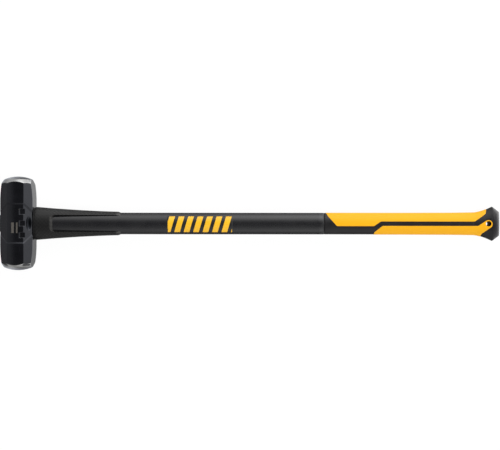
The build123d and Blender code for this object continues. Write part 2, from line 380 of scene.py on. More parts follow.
def make_grain_group():
    """Fine uneven grain: noise for its height, and much broader noise for patches."""
    group, place, scale, wanted = new_group("fine_grain", "Scale", 900.0, ("Height", "Patches"))
    put(noise(place, Scale=scale, Detail=3.0, Roughness=0.6), wanted["Height"])
    put(noise(place, Scale=scale * 0.03, Detail=4.0, Roughness=0.55), wanted["Patches"])
    return group


def make_scuff_group():
    """Sparse thin scratches: stretched noise, kept only where it peaks."""
    group, place, amount, wanted = new_group("scuffs", "Amount", 0.5, ("Mask",))
    low = 0.78 - amount * 0.12
    marks = []
    for angle, stretch in ((0.35, (90, 1400, 400)), (-0.9, (1600, 80, 400))):
        turned = mapped(place, Rotation=(0, 0, angle), Scale=stretch)
        marks.append(noise(turned, Scale=1.0, Detail=2.0).step(low, low + 0.05))
    put(calc("MAXIMUM", *marks), wanted["Mask"])
    return group


grain_group = make_grain_group()
scuff_group = make_scuff_group()


# ---------------------------------------------------------------- materials

# sizes that a piece's shape and its finish share
CONE_REACH = 105.85            # radius plus half length, on the bevels
CROWN_RADIUS = 62.0
POCKET_X, POCKET_DEPTH = 23.2, 4.0
POCKET_HALF_WIDTH, POCKET_HALF_LENGTH = 5.2, 12.0   # across the slanted flat, along Y
WINDOW_X, WINDOW_ROUNDING, WINDOW_HALF_HEIGHT = -361.5, 6.5, 15.3

# where marks begin, are full, are full until, and end, in millimetres
MISSED_TURNS = (0.42, 0.47, 0.92, 0.97), (-0.80, -0.75, -0.48, -0.43)   # in radians
MISSED_ALONG = -77.0, -76.5, -73.5, -73.0
PAINTED_BARS = (-7.3, -6.9, -2.6, -2.2), (1.3, 1.7, 4.1, 4.5)
PAINTED_ALONG = -17.6, -17.1, 1.3, 1.8
# painted highlights on the collar's wing tips and on the window's closed lip
TIP_HIGHLIGHT_BESIDE = 12.0, 14.5, 16.5, 19.5
LIP_HIGHLIGHT_PAST = -1.2, 0.0, 3.5, 6.0
PRINTED_ALONG = 1.0, 1.2, 117.8, 118.0


def make_forged_steel():
    """Black oxide on forged steel, with ground bevels and faces and two painted bars.

    The ground zone is where the distance from the striking axis plus the distance
    from the middle reaches the bevel's cone, or beyond the face's edge.
    """
    material, tree, shader = new_material(
        "forged_steel", IOR=1.62, Specular_Tint=(0.88, 0.91, 1.0))
    place = object_place(tree, Location=(-HEAD_X * MM, 0, -AXIS_Z * MM))
    x, y, z = lengths(place)
    radius = calc("SQRT", x * x + z * z)
    on_cone = (radius + abs(y)).step(CONE_REACH - 0.45, CONE_REACH - 0.15)
    ground = calc("MAXIMUM", on_cone, abs(y).step(79.0, 79.2))
    # two strips on the -Y bevel where the grinding stopped short
    turn = calc("ARCTAN2", x, z)
    first, second = (turn.within(*strip) for strip in MISSED_TURNS)
    missed = (first + second) * y.within(*MISSED_ALONG)
    ground = calc("SUBTRACT", ground, missed * 0.95, clamp=True)
    # oxide: cloudy grey-black, rubbed brighter in places
    fine, patches = use_group(grain_group, place, Scale=1100.0)
    [scuffs] = use_group(scuff_group, place, Amount=0.3)
    oxide = tint(patches.step(0.35, 0.7), (0.003, 0.0032, 0.004), (0.006, 0.006, 0.0075))
    oxide = tint(scuffs * 0.35, oxide, (0.05, 0.05, 0.05))
    # two plain painted bars on each cheek, thin where the grain is low
    first, second = (x.within(*bar) for bar in PAINTED_BARS)
    bars = (first + second) * y.within(*PAINTED_ALONG) * abs(z).step(27.0, 27.5)
    painted = tint(bars * fine.step(0.30, 0.42), oxide, (0.092, 0.084, 0.074))
    # painted shade: the handle side's pockets get a dark colour and a dim metallic reflection, so
    # they read as shaded hollows
    across, along = (x - POCKET_X) / (POCKET_HALF_WIDTH * 0.8), y / POCKET_HALF_LENGTH
    pocket_shade = (across * across + along * along).step(1.05, 0.6)
    painted = tint(pocket_shade, painted, (0.020, 0.022, 0.026))
    # ground steel: fine rings round the striking axis
    rings = calc("SINE", radius * (2 * np.pi / 0.45))
    steel = tint(patches, (0.36, 0.36, 0.36), (0.48, 0.48, 0.47))
    # the pockets' painted shade also makes them metallic, which dims their reflection
    metal = calc("MAXIMUM", ground, calc("MAXIMUM", scuffs * 0.15, pocket_shade))
    put(metal, shader["Metallic"])
    roughness = blend(ground, patches * 0.08 + 0.10, fine * 0.10 + 0.20)
    height = blend(ground, patches * 2.0 + fine, rings * 0.12)
    dress(shader, tint(ground, painted, steel), roughness, height, 0.035)
    return material


def make_plastic(name, base, patch, roughness, grain_scale, depth_mm,
                 scuffs=0.0, fresh_to=None, **settings):
    """Moulded plastic or rubber: patchy colour and gloss, fine grain, a few scuffs.

    Where X is below fresh_to the surface is less handled, and glossier.
    """
    material, tree, shader = new_material(name, **settings)
    place = object_place(tree)
    fine, patches = use_group(grain_group, place, Scale=grain_scale)
    shade = tint(patches.step(0.3, 0.7), base, patch)
    rough = patches * 0.12 + (roughness - 0.06)
    if scuffs:
        [mask] = use_group(scuff_group, place, Amount=scuffs)
        shade = tint(mask * 0.25, shade, [2.2 * part + 0.03 for part in patch])
        rough = mask * 0.15 + rough
    if fresh_to is not None:
        rough = lengths(place)[0].step(fresh_to + 12, fresh_to) * -0.07 + rough
    dress(shader, shade, rough, fine, depth_mm)
    return material


def make_weave():
    """Woven composite: slanted tows over and under, in the piece's own coordinates.

    Two families of tows cross at right angles. Each is a sine across its width,
    and a slow sine of their mean says which one lies on top.
    """
    material, tree, shader = new_material("fibre_composite", IOR=1.39)
    along, around, _ = lengths(surface_place(tree))
    tow = 2 * np.pi / 4.8 * np.sqrt(0.5)
    lean, back = (along + around) * tow, (along - around) * tow
    first, second = (calc("SINE", phase) * 0.5 + 0.5 for phase in (lean, back))
    height = blend(calc("SINE", (lean + back) * 0.5).step(-0.2, 0.2), first, second)
    place = object_place(tree)
    fine, patches = use_group(grain_group, place, Scale=1500.0)
    shade = tint(patches * 0.25 + height * 0.75, (0.001, 0.001, 0.001), (0.012, 0.0118, 0.0115))
    # painted highlights: the window's closed lip and the inner corners of the wings' tips are
    # painted pale where light catches them
    x, y, _ = lengths(place)
    beside = abs(y)
    tip_highlight = x.step(-243.5, -240.5) * beside.within(*TIP_HIGHLIGHT_BESIDE)
    corner = calc("MAXIMUM", beside - (WINDOW_HALF_HEIGHT - WINDOW_ROUNDING), 0.0)
    arc = calc("MAXIMUM", WINDOW_ROUNDING**2 - corner * corner, 0.0)
    past = x - (WINDOW_X + WINDOW_ROUNDING) + calc("SQRT", arc)
    lip_highlight = past.within(*LIP_HIGHLIGHT_PAST) * beside.step(15.2, 14.5)
    shade = tint(lip_highlight, shade, (0.028, 0.027, 0.026))
    shade = tint(tip_highlight, shade, (0.060, 0.057, 0.055))
    dress(shader, shade, height * -0.12 + 0.48, fine * 0.5 + height, 0.26)
    return material


def make_panel_rubber():
    """Yellow grip rubber with small close bumps, a little darker between them."""
    material, tree, shader = new_material("panel_rubber", IOR=1.33)
    values = {"Vector": surface_place(tree), "Scale": 1100.0}
    studs = node(tree, "ShaderNodeTexVoronoi", values, feature="F1")
    round_top = Wire(studs.outputs["Distance"]).step(0.55, 0.1)
    fine, patches = use_group(grain_group, object_place(tree), Scale=1300.0)
    yellow = tint(patches.step(0.3, 0.75), (0.95, 0.455, 0.006), (0.97, 0.475, 0.008))
    # colour a little darker between the bumps
    shade = tint((1.0 - round_top) * 0.12, yellow, (0.55, 0.24, 0.008))
    dress(shader, shade, patches * 0.12 + 0.46, fine * 0.3 + round_top, 0.05)
    return material


def make_label_film():
    """Clear film printed with plain slanted yellow bars inside a thin margin."""
    material, tree, shader = new_material("label_film", IOR=1.5)
    along, across, _ = lengths(surface_place(tree))
    pitch, width = 17.2, 0.62      # from bar to bar, and a bar's share of it
    beat = calc("FRACT", (across * -0.30 + along) / pitch)
    bars = beat.within(0.0, 0.02, width - 0.02, width) * along.within(*PRINTED_ALONG)
    fine, patches = use_group(grain_group, object_place(tree), Scale=1200.0)
    ink = tint(patches, (0.88, 0.47, 0.012), (0.95, 0.53, 0.020))
    shade = tint(bars, (0.014, 0.014, 0.015), ink)
    dress(shader, shade, patches * 0.1 + 0.30, fine, 0.004)
    return material


def make_glass_fibre():
    """Pultruded rod: pale straw resin with long fibres along the handle."""
    material, tree, shader = new_material("glass_fibre")
    fibres = noise(object_place(tree, Scale=(12, 900, 900)), Scale=1.0, Detail=4.0)
    shade = tint(fibres, (0.52, 0.47, 0.28), (0.78, 0.74, 0.55))
    dress(shader, shade, fibres * 0.2 + 0.3, fibres, 0.02)
    return material


forged_steel = make_forged_steel()
plug_plastic = make_plastic(
    "plug_plastic", (0.016, 0.016, 0.017), (0.026, 0.026, 0.027), 0.45, 900, 0.02)
dam_rubber = make_plastic(
    "dam_rubber", (0.008, 0.008, 0.008), (0.014, 0.014, 0.014), 0.75, 1500, 0.03)
resin = make_plastic("resin", (0.006, 0.006, 0.006), (0.010, 0.010, 0.010), 0.5, 500, 0.02)
glass_fibre = make_glass_fibre()
jacket_plastic = make_plastic(
    "jacket_plastic", (0.011, 0.011, 0.0125), (0.015, 0.015, 0.0165), 0.27, 1400, 0.006,
    scuffs=0.2, fresh_to=-240, IOR=1.5)
fibre_composite = make_weave()
grip_rubber = make_plastic(
    "grip_rubber", (0.0075, 0.007, 0.0078), (0.0125, 0.0118, 0.013), 0.46, 1800, 0.03, IOR=1.42)
panel_rubber = make_panel_rubber()
sleeve_plastic = make_plastic(
    "sleeve_plastic", (0.003, 0.003, 0.003), (0.006, 0.006, 0.006), 0.8, 900, 0.01)
label_film = make_label_film()


# ---------------------------------------------------------------- head

FLAT_SLOPE = np.arctan2(11.0, 14.6)        # turn to the slanted flat, from its rise and run
CHEEK_HALF_WIDTH, CHEEK_CENTRE = 15.0, 14.6   # to its edge, to its corner arc's centre
SLANT_NORMAL = np.array([np.sin(FLAT_SLOPE), np.cos(FLAT_SLOPE)])
CORNER_ROUNDING = 1.3
BARREL_START, BARREL_RADIUS = 39.0, 194.0
BAND_DEPTHS, BAND_BEVEL = (0.9, 1.0, 1.1), 2.6   # on cheek, slanted flat and handle side
BAND_HALF_CHEEK, BAND_HALF_SIDE = 35.3, 21.0
BEVEL_END = 79.5                           # where the bevel turns into the face
CHEEK_CROWN = 0.020                        # share of its depth that a flat loses by its corner
BAND_CORE = 17.0                           # rows nearer the middle than this are level
BAND_MERGE = 66.0                          # rows farther out than this are level
BAND_END_SLOPE = 0.786                     # of the band's ends on the slanted flats
NOTCH_ROWS, NOTCH_HALF_HEIGHT = np.array([-21.3, 0.0, 21.3]), 4.85
NOTCH_START, NOTCH_END, NOTCH_FLOOR = 7.3, 18.5, 26.6
NOTCH_WALL = 0.2                           # half the run of a notch's sloping side walls
CONE_BLEND = 0.5                           # rounding between a flat and the bevel's cone
FACE_RADIUS, FACE_ROUNDING = 23.4, 0.85    # where the crown ends, and its corner's reach
# half sizes of the eye at the handle side, in the middle and at the plug's seat, and
# the blocks of the two sides that it opens: half length and columns on each side
EYE_SIDE, EYE_WAIST, EYE_FAR, PLUG_SEAT = (17.9, 13.9), (16.2, 12.2), (17.0, 13.0), 6.0
EYE_BLOCK_LENGTH, EYE_BLOCK_COLUMNS = 28.2, 12


def ramp(value, low, high):
    return np.clip((value - low) / (high - low), 0, 1)


def head_columns():
    """A quarter of the section, from the middle of the cheek to the middle of the side.

    Gives for each column its weights on the four centres of the corner arcs, the
    direction of its normal, and the half length of the waist band there.
    """
    notch_edge = NOTCH_START / CHEEK_CENTRE + np.array([-0.03, 0.03])
    cheek = np.unique(np.r_[np.linspace(0, 1, 13), notch_edge])
    slant = np.linspace(0, 1, 37)
    side = np.linspace(0, 1, 15)
    arc = np.linspace(0, 1, 5)[1:-1]
    legs = [                               # first centre, share of the next one, turn
        (0, cheek, 0 * cheek),
        (1, 0 * arc, FLAT_SLOPE * arc),
        (1, slant, FLAT_SLOPE + 0 * slant),
        (2, 0 * arc, FLAT_SLOPE + (np.pi / 2 - FLAT_SLOPE) * arc),
        (2, side, np.pi / 2 + 0 * side),
    ]
    centres = np.eye(4)
    weights = np.vstack([
        np.outer(1 - share, centres[first]) + np.outer(share, centres[first + 1])
        for first, share, _ in legs
    ])
    turns = np.concatenate([turn for _, _, turn in legs])
    return weights, turns, weights @ ([BAND_HALF_CHEEK] * 2 + [BAND_HALF_SIDE] * 2)


def octagon_quarter(side_x, insets, weights, turns):
    """Quarter section with rounded corners, its cheek, slanted flat and side drawn in.

    The centres of the corner arcs lie where the flats' lines, moved in by their
    inset and the rounding, meet. side_x is the side's distance, for each point.
    """
    zero = 0 * side_x
    cheek = zero + HEAD_HALF_DEPTH - insets[0] - CORNER_ROUNDING
    slant = zero + SLANT_NORMAL @ [CHEEK_HALF_WIDTH, HEAD_HALF_DEPTH] - insets[1] - CORNER_ROUNDING
    side = side_x - insets[2] - CORNER_ROUNDING
    centre_x = np.stack([zero, (slant - SLANT_NORMAL[1] * cheek) / SLANT_NORMAL[0], side, side])
    centre_z = np.stack([cheek, cheek, (slant - SLANT_NORMAL[0] * side) / SLANT_NORMAL[1], zero])
    x = np.einsum("krc,ck->rc", centre_x, weights) + CORNER_ROUNDING * np.sin(turns)
    z = np.einsum("krc,ck->rc", centre_z, weights) + CORNER_ROUNDING * np.cos(turns)
    return x, z


def soft_min(first, second, width):
    """The smaller of two values, rounded over where they are near each other."""
    return (first + second - np.sqrt((first - second) ** 2 + width**2)) / 2


def make_head():
    """Octagonal head as a grid: rows along the striking axis, columns round it.

    Each row is an octagon whose sides follow the barrel's arc. It is drawn in over
    the waist band, cut by the notches and the dimples, and limited by a cone at
    45 degrees near the ends. The crown closes each end, and the eye is bored from
    side to side.
    """
    weights, turns, band = head_columns()
    edges = NOTCH_ROWS[1:, None, None] + NOTCH_HALF_HEIGHT * np.array([[-1], [1]])
    edges = edges + [-NOTCH_WALL, NOTCH_WALL]
    level = np.unique(np.r_[
        np.linspace(0, BAND_CORE, 27), np.abs(edges.ravel()),
        np.linspace(BAND_CORE, BAND_HALF_CHEEK, 24), np.linspace(BAND_HALF_CHEEK, 40, 9),
        np.linspace(40, BAND_MERGE, 9), np.linspace(BAND_MERGE, BEVEL_END, 28),
    ])
    rows = np.r_[-level[:0:-1], level]
    size = np.abs(rows)[:, None]
    # rows bend towards the end of the band, which differs from column to column
    inner = BAND_CORE + (band - BAND_CORE) * ramp(size, BAND_CORE, BAND_HALF_CHEEK)
    outer = band + (BAND_MERGE - band) * ramp(size, BAND_HALF_CHEEK, BAND_MERGE)
    y = np.where(size <= BAND_HALF_CHEEK, inner, outer)
    y = np.where((size <= BAND_CORE) | (size > BAND_MERGE), size, y) * np.sign(rows)[:, None]
    reach = np.maximum(np.abs(y) - BARREL_START, 0)
    side_x = HEAD_HALF_WIDTH - BARREL_RADIUS + np.sqrt(BARREL_RADIUS**2 - reach**2)
    x_out, z_out = octagon_quarter(side_x, (0, 0, 0), weights, turns)
    on_slant = (turns > 0) & (turns < np.pi / 2)
    lean = np.where(on_slant, BAND_END_SLOPE, 1.0)
    inside = ramp((band - np.abs(y)) * lean, -BAND_BEVEL / 2, BAND_BEVEL / 2)
    crowned, banded = [], []
    for side_inset in (BAND_DEPTHS[2], 0.0):
        x_in, z_in = octagon_quarter(side_x, (*BAND_DEPTHS[:2], side_inset), weights, turns)
        x = x_out + (x_in - x_out) * inside
        z = z_out + (z_in - z_out) * inside
        banded.append(x)
        crowned.append(z * (1 - CHEEK_CROWN * np.minimum(x / CHEEK_HALF_WIDTH, 1) ** 2))
    (x, far_x), (z, far_z) = banded, crowned
    # the handle side of the section has notches and a dimple; the far side has none
    within = [NOTCH_HALF_HEIGHT - np.abs(y - row) for row in NOTCH_ROWS]
    notch = ramp(np.max(within, axis=0), -NOTCH_WALL, NOTCH_WALL) * (x < NOTCH_END)
    notch = notch * ramp(x, NOTCH_START - 2 * NOTCH_WALL, NOTCH_START + 2 * NOTCH_WALL)
    z_cut = z - notch * np.maximum(z - NOTCH_FLOOR, 0)
    across = (x - POCKET_X) / SLANT_NORMAL[1]
    bowl = 1 - (across / POCKET_HALF_WIDTH) ** 2 - (y / POCKET_HALF_LENGTH) ** 2
    depth = POCKET_DEPTH * np.sqrt(np.maximum(bowl, 0) * on_slant)
    x_cut = x - depth * SLANT_NORMAL[0]
    z_cut = z_cut - depth * SLANT_NORMAL[1]
    # the quarter is turned over three times to close the section
    x_all = np.hstack([x_cut, x_cut[:, -2::-1], -far_x[:, 1:], -far_x[:, -2:0:-1]])
    z_all = np.hstack([z_cut, -z_cut[:, -2::-1], -far_z[:, 1:], far_z[:, -2:0:-1]])
    y_all = np.hstack([y, y[:, -2::-1], y[:, 1:], y[:, -2:0:-1]])
    radius = np.hypot(x_all, z_all)
    limited = soft_min(radius, CONE_REACH - np.abs(y_all), CONE_BLEND)
    x_all, z_all = x_all * limited / radius, z_all * limited / radius
    body = np.stack([x_all, y_all, z_all], axis=-1)
    # face: the bevel turns into the crown over a short rounding
    share = np.linspace(0, 1, 6)[1:, None]
    start = np.array([CONE_REACH - BEVEL_END, BEVEL_END])
    corner = start + [-FACE_ROUNDING, FACE_ROUNDING]
    crown_r = np.linspace(FACE_RADIUS, 0, 17)[:-1]
    crown = np.column_stack([crown_r, HEAD_HALF_LENGTH - crown_r**2 / (2 * CROWN_RADIUS)])
    rounding = (1 - share) ** 2 * start + 2 * share * (1 - share) * corner + share**2 * crown[0]
    cap = np.vstack([rounding, crown[1:]])
    caps = []
    for sign, edge in ((-1, body[0]), (1, body[-1])):
        unit = edge[:, [0, 2]] / np.linalg.norm(edge[:, [0, 2]], axis=1, keepdims=True)
        ring_x, ring_z = (cap[:, 0, None] * part for part in unit.T)
        caps.append(np.stack([ring_x, sign * cap[:, 1, None] + 0 * ring_x, ring_z], axis=-1))
    grid = np.vstack([caps[0][::-1], body, caps[1]])
    index = numbered(grid)
    # the eye: blocks of cells in the middle of the two sides
    quarter = len(turns) - 1
    block = np.arange(-EYE_BLOCK_COLUMNS, EYE_BLOCK_COLUMNS + 1)
    near, far = quarter + block, 3 * quarter - block
    eye_rows = len(cap) + np.flatnonzero(np.abs(rows) <= EYE_BLOCK_LENGTH)

    def eye_rings(near_edge, far_edge):
        """Rings from the side's block, round the eye's mouths, and through its waist."""
        turn = np.arctan2(near_edge[:, 1] / EYE_SIDE[0], near_edge[:, 2] / EYE_SIDE[1])

        def oval(x, half):
            return np.column_stack([0 * turn + x, half[0] * np.sin(turn), half[1] * np.cos(turn)])

        near_x, far_x = near_edge[0, 0], far_edge[0, 0]
        mouth, waist = oval(near_x, EYE_SIDE), oval(0.0, EYE_WAIST)
        seat, far_mouth = oval(far_x + PLUG_SEAT, EYE_FAR), oval(far_x, EYE_FAR)
        return np.vstack([
            between(near_edge, mouth, 3), mouth[None], between(mouth, waist, 4), waist[None],
            between(waist, seat, 4), seat[None], far_mouth[None], between(far_mouth, far_edge, 3),
        ])

    points, faces = bored(grid.reshape(-1, 3), index, eye_rows, near, far, eye_rings)
    poles = np.array([[0, -HEAD_HALF_LENGTH, 0], [0, HEAD_HALF_LENGTH, 0]])
    faces += capped(index, len(points))
    points = np.vstack([points, poles]) + [HEAD_X, 0, AXIS_Z]
    add_piece("head_forging", points, faces, forged_steel, "head")


make_head()


# ---------------------------------------------------------------- handle pieces

def make_crown_plug():
    """Domed oval plug: rounded rim, shallow ring and a low dome in the middle."""
    half_height, half_depth = (plug_high - plug_low)[1:] / 2
    out_x, in_x = plug_low[0], plug_high[0]
    turn = np.linspace(0, np.pi / 2, 8)
    rim = np.column_stack([out_x + 5.0 * (1 - np.sin(turn)), 5.0 * (1 - np.cos(turn))])[::-1]
    rows = np.vstack([[in_x, 0.6], [in_x - 0.6, 0.0], rim,
                      [[out_x, 7.0], [out_x + 0.7, 7.7], [out_x + 0.7, 8.7], [out_x + 0.1, 9.4]]])
    x, inset = rows.T
    points = oval_ring(x, half_height - inset, half_depth - inset, full_turn(96))
    index = numbered(points)
    centres = np.array([[in_x, 0, AXIS_Z], [out_x, 0, AXIS_Z]])
    faces = [quads(wrapped(index)), *capped(index, index.size)]
    add_piece("eye_plug", np.vstack([points.reshape(-1, 3), centres]), faces,
              plug_plastic, "crown_plug", bevel=0.25)


def make_jacket():
    """Satin jacket: a long oval tube, stepped down where the grip covers it."""
    start, end = jacket_low[0], jacket_high[0]
    outer_x = np.r_[start, np.linspace(start + 1, GRIP_START_X - 0.4, 60), GRIP_START_X]
    outer = profile_rows(outer_x, SHAFT_HALF_HEIGHT, SHAFT_HALF_DEPTH)
    outer[-1, 1:] -= 0.35
    under = profile_rows([GRIP_START_X, end], *UNDER_GRIP)
    inner = profile_rows([end, start], CORE_HALF_HEIGHT, CORE_HALF_DEPTH)
    points, faces = lathe(np.vstack([outer, under, inner]), 144)
    add_piece("handle_jacket", points, faces, jacket_plastic, "shaft_jacket")


# half height and half depth of the collar along the handle
COLLAR_HEIGHT_X = [
    -391.1, -383.6, -372.6, -356.1, -339.7, -323.2, -306.7, -290.2, -273.8, -257.3, -234.0]
COLLAR_HALF_HEIGHT = [30.3, 29.8, 28.9, 27.5, 26.4, 25.3, 24.3, 23.5, 22.7, 22.1, 21.4]
COLLAR_DEPTH_X = [collar_low[0], -358, -325, collar_high[0]]
COLLAR_HALF_DEPTH = [19.6, 18.9, 17.6, 17.0]
LIP_RUN, SIDE_RUN = 4.2, 0.9               # how far the window's walls slope inwards


def make_collar():
    """Tapered guard: outer and inner skins on one grid, with a window in each face.

    Rows bend round the closed end of the window, so that its corner is an arc.
    Columns in the window are even across its height, and the rest run round the
    wing from the front window's edge to the back one's. The inner skin's window is
    smaller, which slopes the walls between the two.
    """
    start, end = collar_low[0], collar_high[0]
    window_share = np.linspace(-1, 1, 25)
    wing_share = np.linspace(0, 1, 45)[1:-1]
    blank = 14                             # rows before the window's end
    rows = np.r_[np.linspace(0, 1, blank), np.linspace(1, 2, 48)[1:]]

    def skin(window_x, half_window, rounding, section):
        """Points of one skin: the front face and one wing, and the same turned over.

        Each point is at a turn round an oval, whose half height and half depth
        the section gives for each X.
        """
        near = window_share * half_window
        corner = np.maximum(np.abs(near) - (half_window - rounding), 0)
        bend = window_x + rounding - np.sqrt(rounding**2 - corner**2)
        bend = np.r_[bend, 0 * wing_share + window_x + rounding]
        share = rows[:, None]
        x = np.where(share <= 1, start + (bend - start) * share, bend + (end - bend) * (share - 1))
        high, deep = section(x)
        edge = np.arcsin(half_window / high[:, len(near):])
        flat_turn = np.arcsin(near / high[:, :len(near)])
        turn = np.hstack([flat_turn, edge + (np.pi - 2 * edge) * wing_share])
        half = np.stack([x, high * np.sin(turn), deep * np.cos(turn)], axis=-1)
        return np.hstack([half, half * [1, -1, -1]]) + [0, 0, AXIS_Z]

    def outer_section(x):
        high = np.interp(x, COLLAR_HEIGHT_X, COLLAR_HALF_HEIGHT)
        deep = np.interp(x, COLLAR_DEPTH_X, COLLAR_HALF_DEPTH)
        first = 0.9 * (1 - ramp(x, start, start + 1.6)) ** 2
        last = 1.9 * ramp(x, end - 5.5, end - 0.5) ** 1.5
        return high - first - last, deep - first - last

    def inner_section(x):
        return SHAFT_HALF_HEIGHT + 0 * x, SHAFT_HALF_DEPTH + 0 * x

    outer = skin(WINDOW_X, WINDOW_HALF_HEIGHT, WINDOW_ROUNDING, outer_section)
    inner = skin(WINDOW_X + LIP_RUN, WINDOW_HALF_HEIGHT - SIDE_RUN, WINDOW_ROUNDING - 1.5,
                 inner_section)
    index = numbered(outer)
    kept = np.ones_like(index[1:], bool)
    count = len(window_share)
    for offset in (0, count + len(wing_share)):
        kept[blank - 1:, offset:offset + count - 1] = False
    full, low = wrapped(index), wrapped(index + index.size)
    cells = [quads(table).reshape(kept.shape + (4,))[kept] for table in (full, low)]
    # walls wherever a kept cell borders on a missing one, along rows and columns
    padded = np.pad(kept, ((1, 1), (0, 0)))
    r, c = np.nonzero(padded[1:] != padded[:-1])
    cells.append(np.stack([full[r, c], full[r, c + 1], low[r, c + 1], low[r, c]], axis=-1))
    r, c = np.nonzero(kept != np.roll(kept, 1, axis=1))
    cells.append(np.stack([full[r, c], full[r + 1, c], low[r + 1, c], low[r, c]], axis=-1))
    points = np.vstack([outer.reshape(-1, 3), inner.reshape(-1, 3)])
    steps = np.linalg.norm(np.diff(outer, axis=1, prepend=outer[:, :1]), axis=-1)
    around = np.cumsum(steps, axis=1)
    around -= around[:, count // 2, None].copy()
    surface = np.column_stack([outer[..., 0].ravel(), around.ravel()])
    used = np.zeros(len(points), bool)
    for block in cells:
        used[block] = True
    renumber = np.cumsum(used) - 1
    cells = [renumber[block] for block in cells]
    add_piece("collar_guard", points[used], cells, fibre_composite,
              "overstrike_collar", np.vstack([surface, surface])[used], bevel=0.35)


make_crown_plug()
make_jacket()
make_collar()


# ---------------------------------------------------------------- grip

FLARE_START, RIDGE_X = 409.0, 443.6
RIDGE_HALF_HEIGHT, RIDGE_HALF_DEPTH = 31.3, 18.3
PANEL_PROUD, PANEL_SUNK = 0.35, 1.2
FLARE_POWER = 1.6
UNROLL = 19.0                              # millimetres of unrolled height per radian


def flared(x, places, sizes, ridge):
    """Size along the grip: nearly straight, then a flare that grows as a power."""
    flare = ramp(x, FLARE_START, RIDGE_X) ** FLARE_POWER
    return np.interp(x, places, sizes) + (ridge - sizes[-1]) * flare


def grip_half_height(x):
    places = [GRIP_START_X, 278.0, 368.0, FLARE_START]
    return flared(x, places, [19.6, 19.6, 19.9, 20.5], RIDGE_HALF_HEIGHT)


def grip_half_depth(x):
    places = [GRIP_START_X, 368.0, FLARE_START]
    return flared(x, places, [15.8, 15.9, 16.1], RIDGE_HALF_DEPTH)


def grip_rise(x, y):
    """Height of the grip's skin above the handle's axis."""
    return grip_half_depth(x) * np.sqrt(1 - (y / grip_half_height(x)) ** 2)


def grip_point(x, turn, lift):
    """Point at that place along and turn round the grip, lifted along its normal."""
    halves = grip_half_height, grip_half_depth
    high, deep = (half(x) for half in halves)
    step = 0.5
    high_slope, deep_slope = ((half(x + step) - half(x - step)) / (2 * step) for half in halves)
    sine, cosine = np.sin(turn), np.cos(turn)
    normal = np.stack([-(high_slope * sine**2 / high + deep_slope * cosine**2 / deep),
                       sine / high, cosine / deep], axis=-1)
    normal /= np.linalg.norm(normal, axis=-1, keepdims=True)
    skin = np.stack([x, high * sine, AXIS_Z + deep * cosine], axis=-1)
    return skin + np.asarray(lift)[..., None] * normal


def inside_outline(places, loop):
    """True for each place inside a closed loop: it crosses the loop an odd number of times."""
    x, y = places[:, 0, None], places[:, 1, None]
    x0, y0 = loop.T
    x1, y1 = np.roll(loop, -1, axis=0).T
    spans = (y0 > y) != (y1 > y)
    with np.errstate(divide="ignore", invalid="ignore"):
        crossing = x < x0 + (y - y0) * (x1 - x0) / (y1 - y0)
    return (np.count_nonzero(spans & crossing, axis=1) % 2).astype(bool)


def even_loop(loop, spacing):
    """A closed loop with evenly spaced points."""
    closed = np.vstack([loop, loop[:1]])
    length = np.r_[0, np.cumsum(np.linalg.norm(np.diff(closed, axis=0), axis=1))]
    at = np.linspace(0, length[-1], int(length[-1] / spacing), endpoint=False)
    return np.column_stack([np.interp(at, length, closed[:, k]) for k in (0, 1)])


def softened(loop, reach):
    """A closed loop with its corners rounded, each point averaged with its neighbours."""
    weights = np.r_[np.arange(1, reach + 2), np.arange(reach, 0, -1)]
    shifts = range(-reach, reach + 1)
    return sum(w * np.roll(loop, s, axis=0) for w, s in zip(weights, shifts)) / weights.sum()


def inset_loop(loop, distance):
    """A closed loop moved to its left by the distance, across its mean direction."""
    ahead = np.roll(loop, -1, axis=0) - np.roll(loop, 1, axis=0)
    left = np.column_stack([-ahead[:, 1], ahead[:, 0]])
    return loop + distance * left / np.linalg.norm(left, axis=1, keepdims=True)


def unrolled(front, side):
    """Closed outline on the unrolled grip, from its half on the upper face.

    front is a list of X and Y on the upper face, from edge to edge. Y turns into
    an angle round the grip, and the half is mirrored to the lower face across the
    grip's edge on the given side.
    """
    front = np.asarray(front, float)
    length = np.r_[0, np.cumsum(np.linalg.norm(np.diff(front, axis=0), axis=1))]
    at = np.arange(0, length[-1], 0.5)
    x, y = (np.interp(at, length, front[:, k]) for k in (0, 1))
    turn = np.arcsin(np.clip(y / grip_half_height(x), -1, 1))
    half = np.column_stack([x, UNROLL * turn])
    back = np.column_stack([x, side * np.pi * UNROLL - UNROLL * turn])[::-1]
    loop = softened(even_loop(np.vstack([half, back]), 0.7), 2)
    return loop if signed_area(loop) > 0 else loop[::-1]


def signed_area(loop):
    x, y = loop.T
    return 0.5 * np.sum(x * np.roll(y, -1) - y * np.roll(x, -1))


RIM_STEPS = np.array([                     # distance in from the outline, lift
    [0.00, -PANEL_SUNK], [0.00, -0.10], [0.05, 0.12], [0.18, 0.28], [0.42, PANEL_PROUD],
])


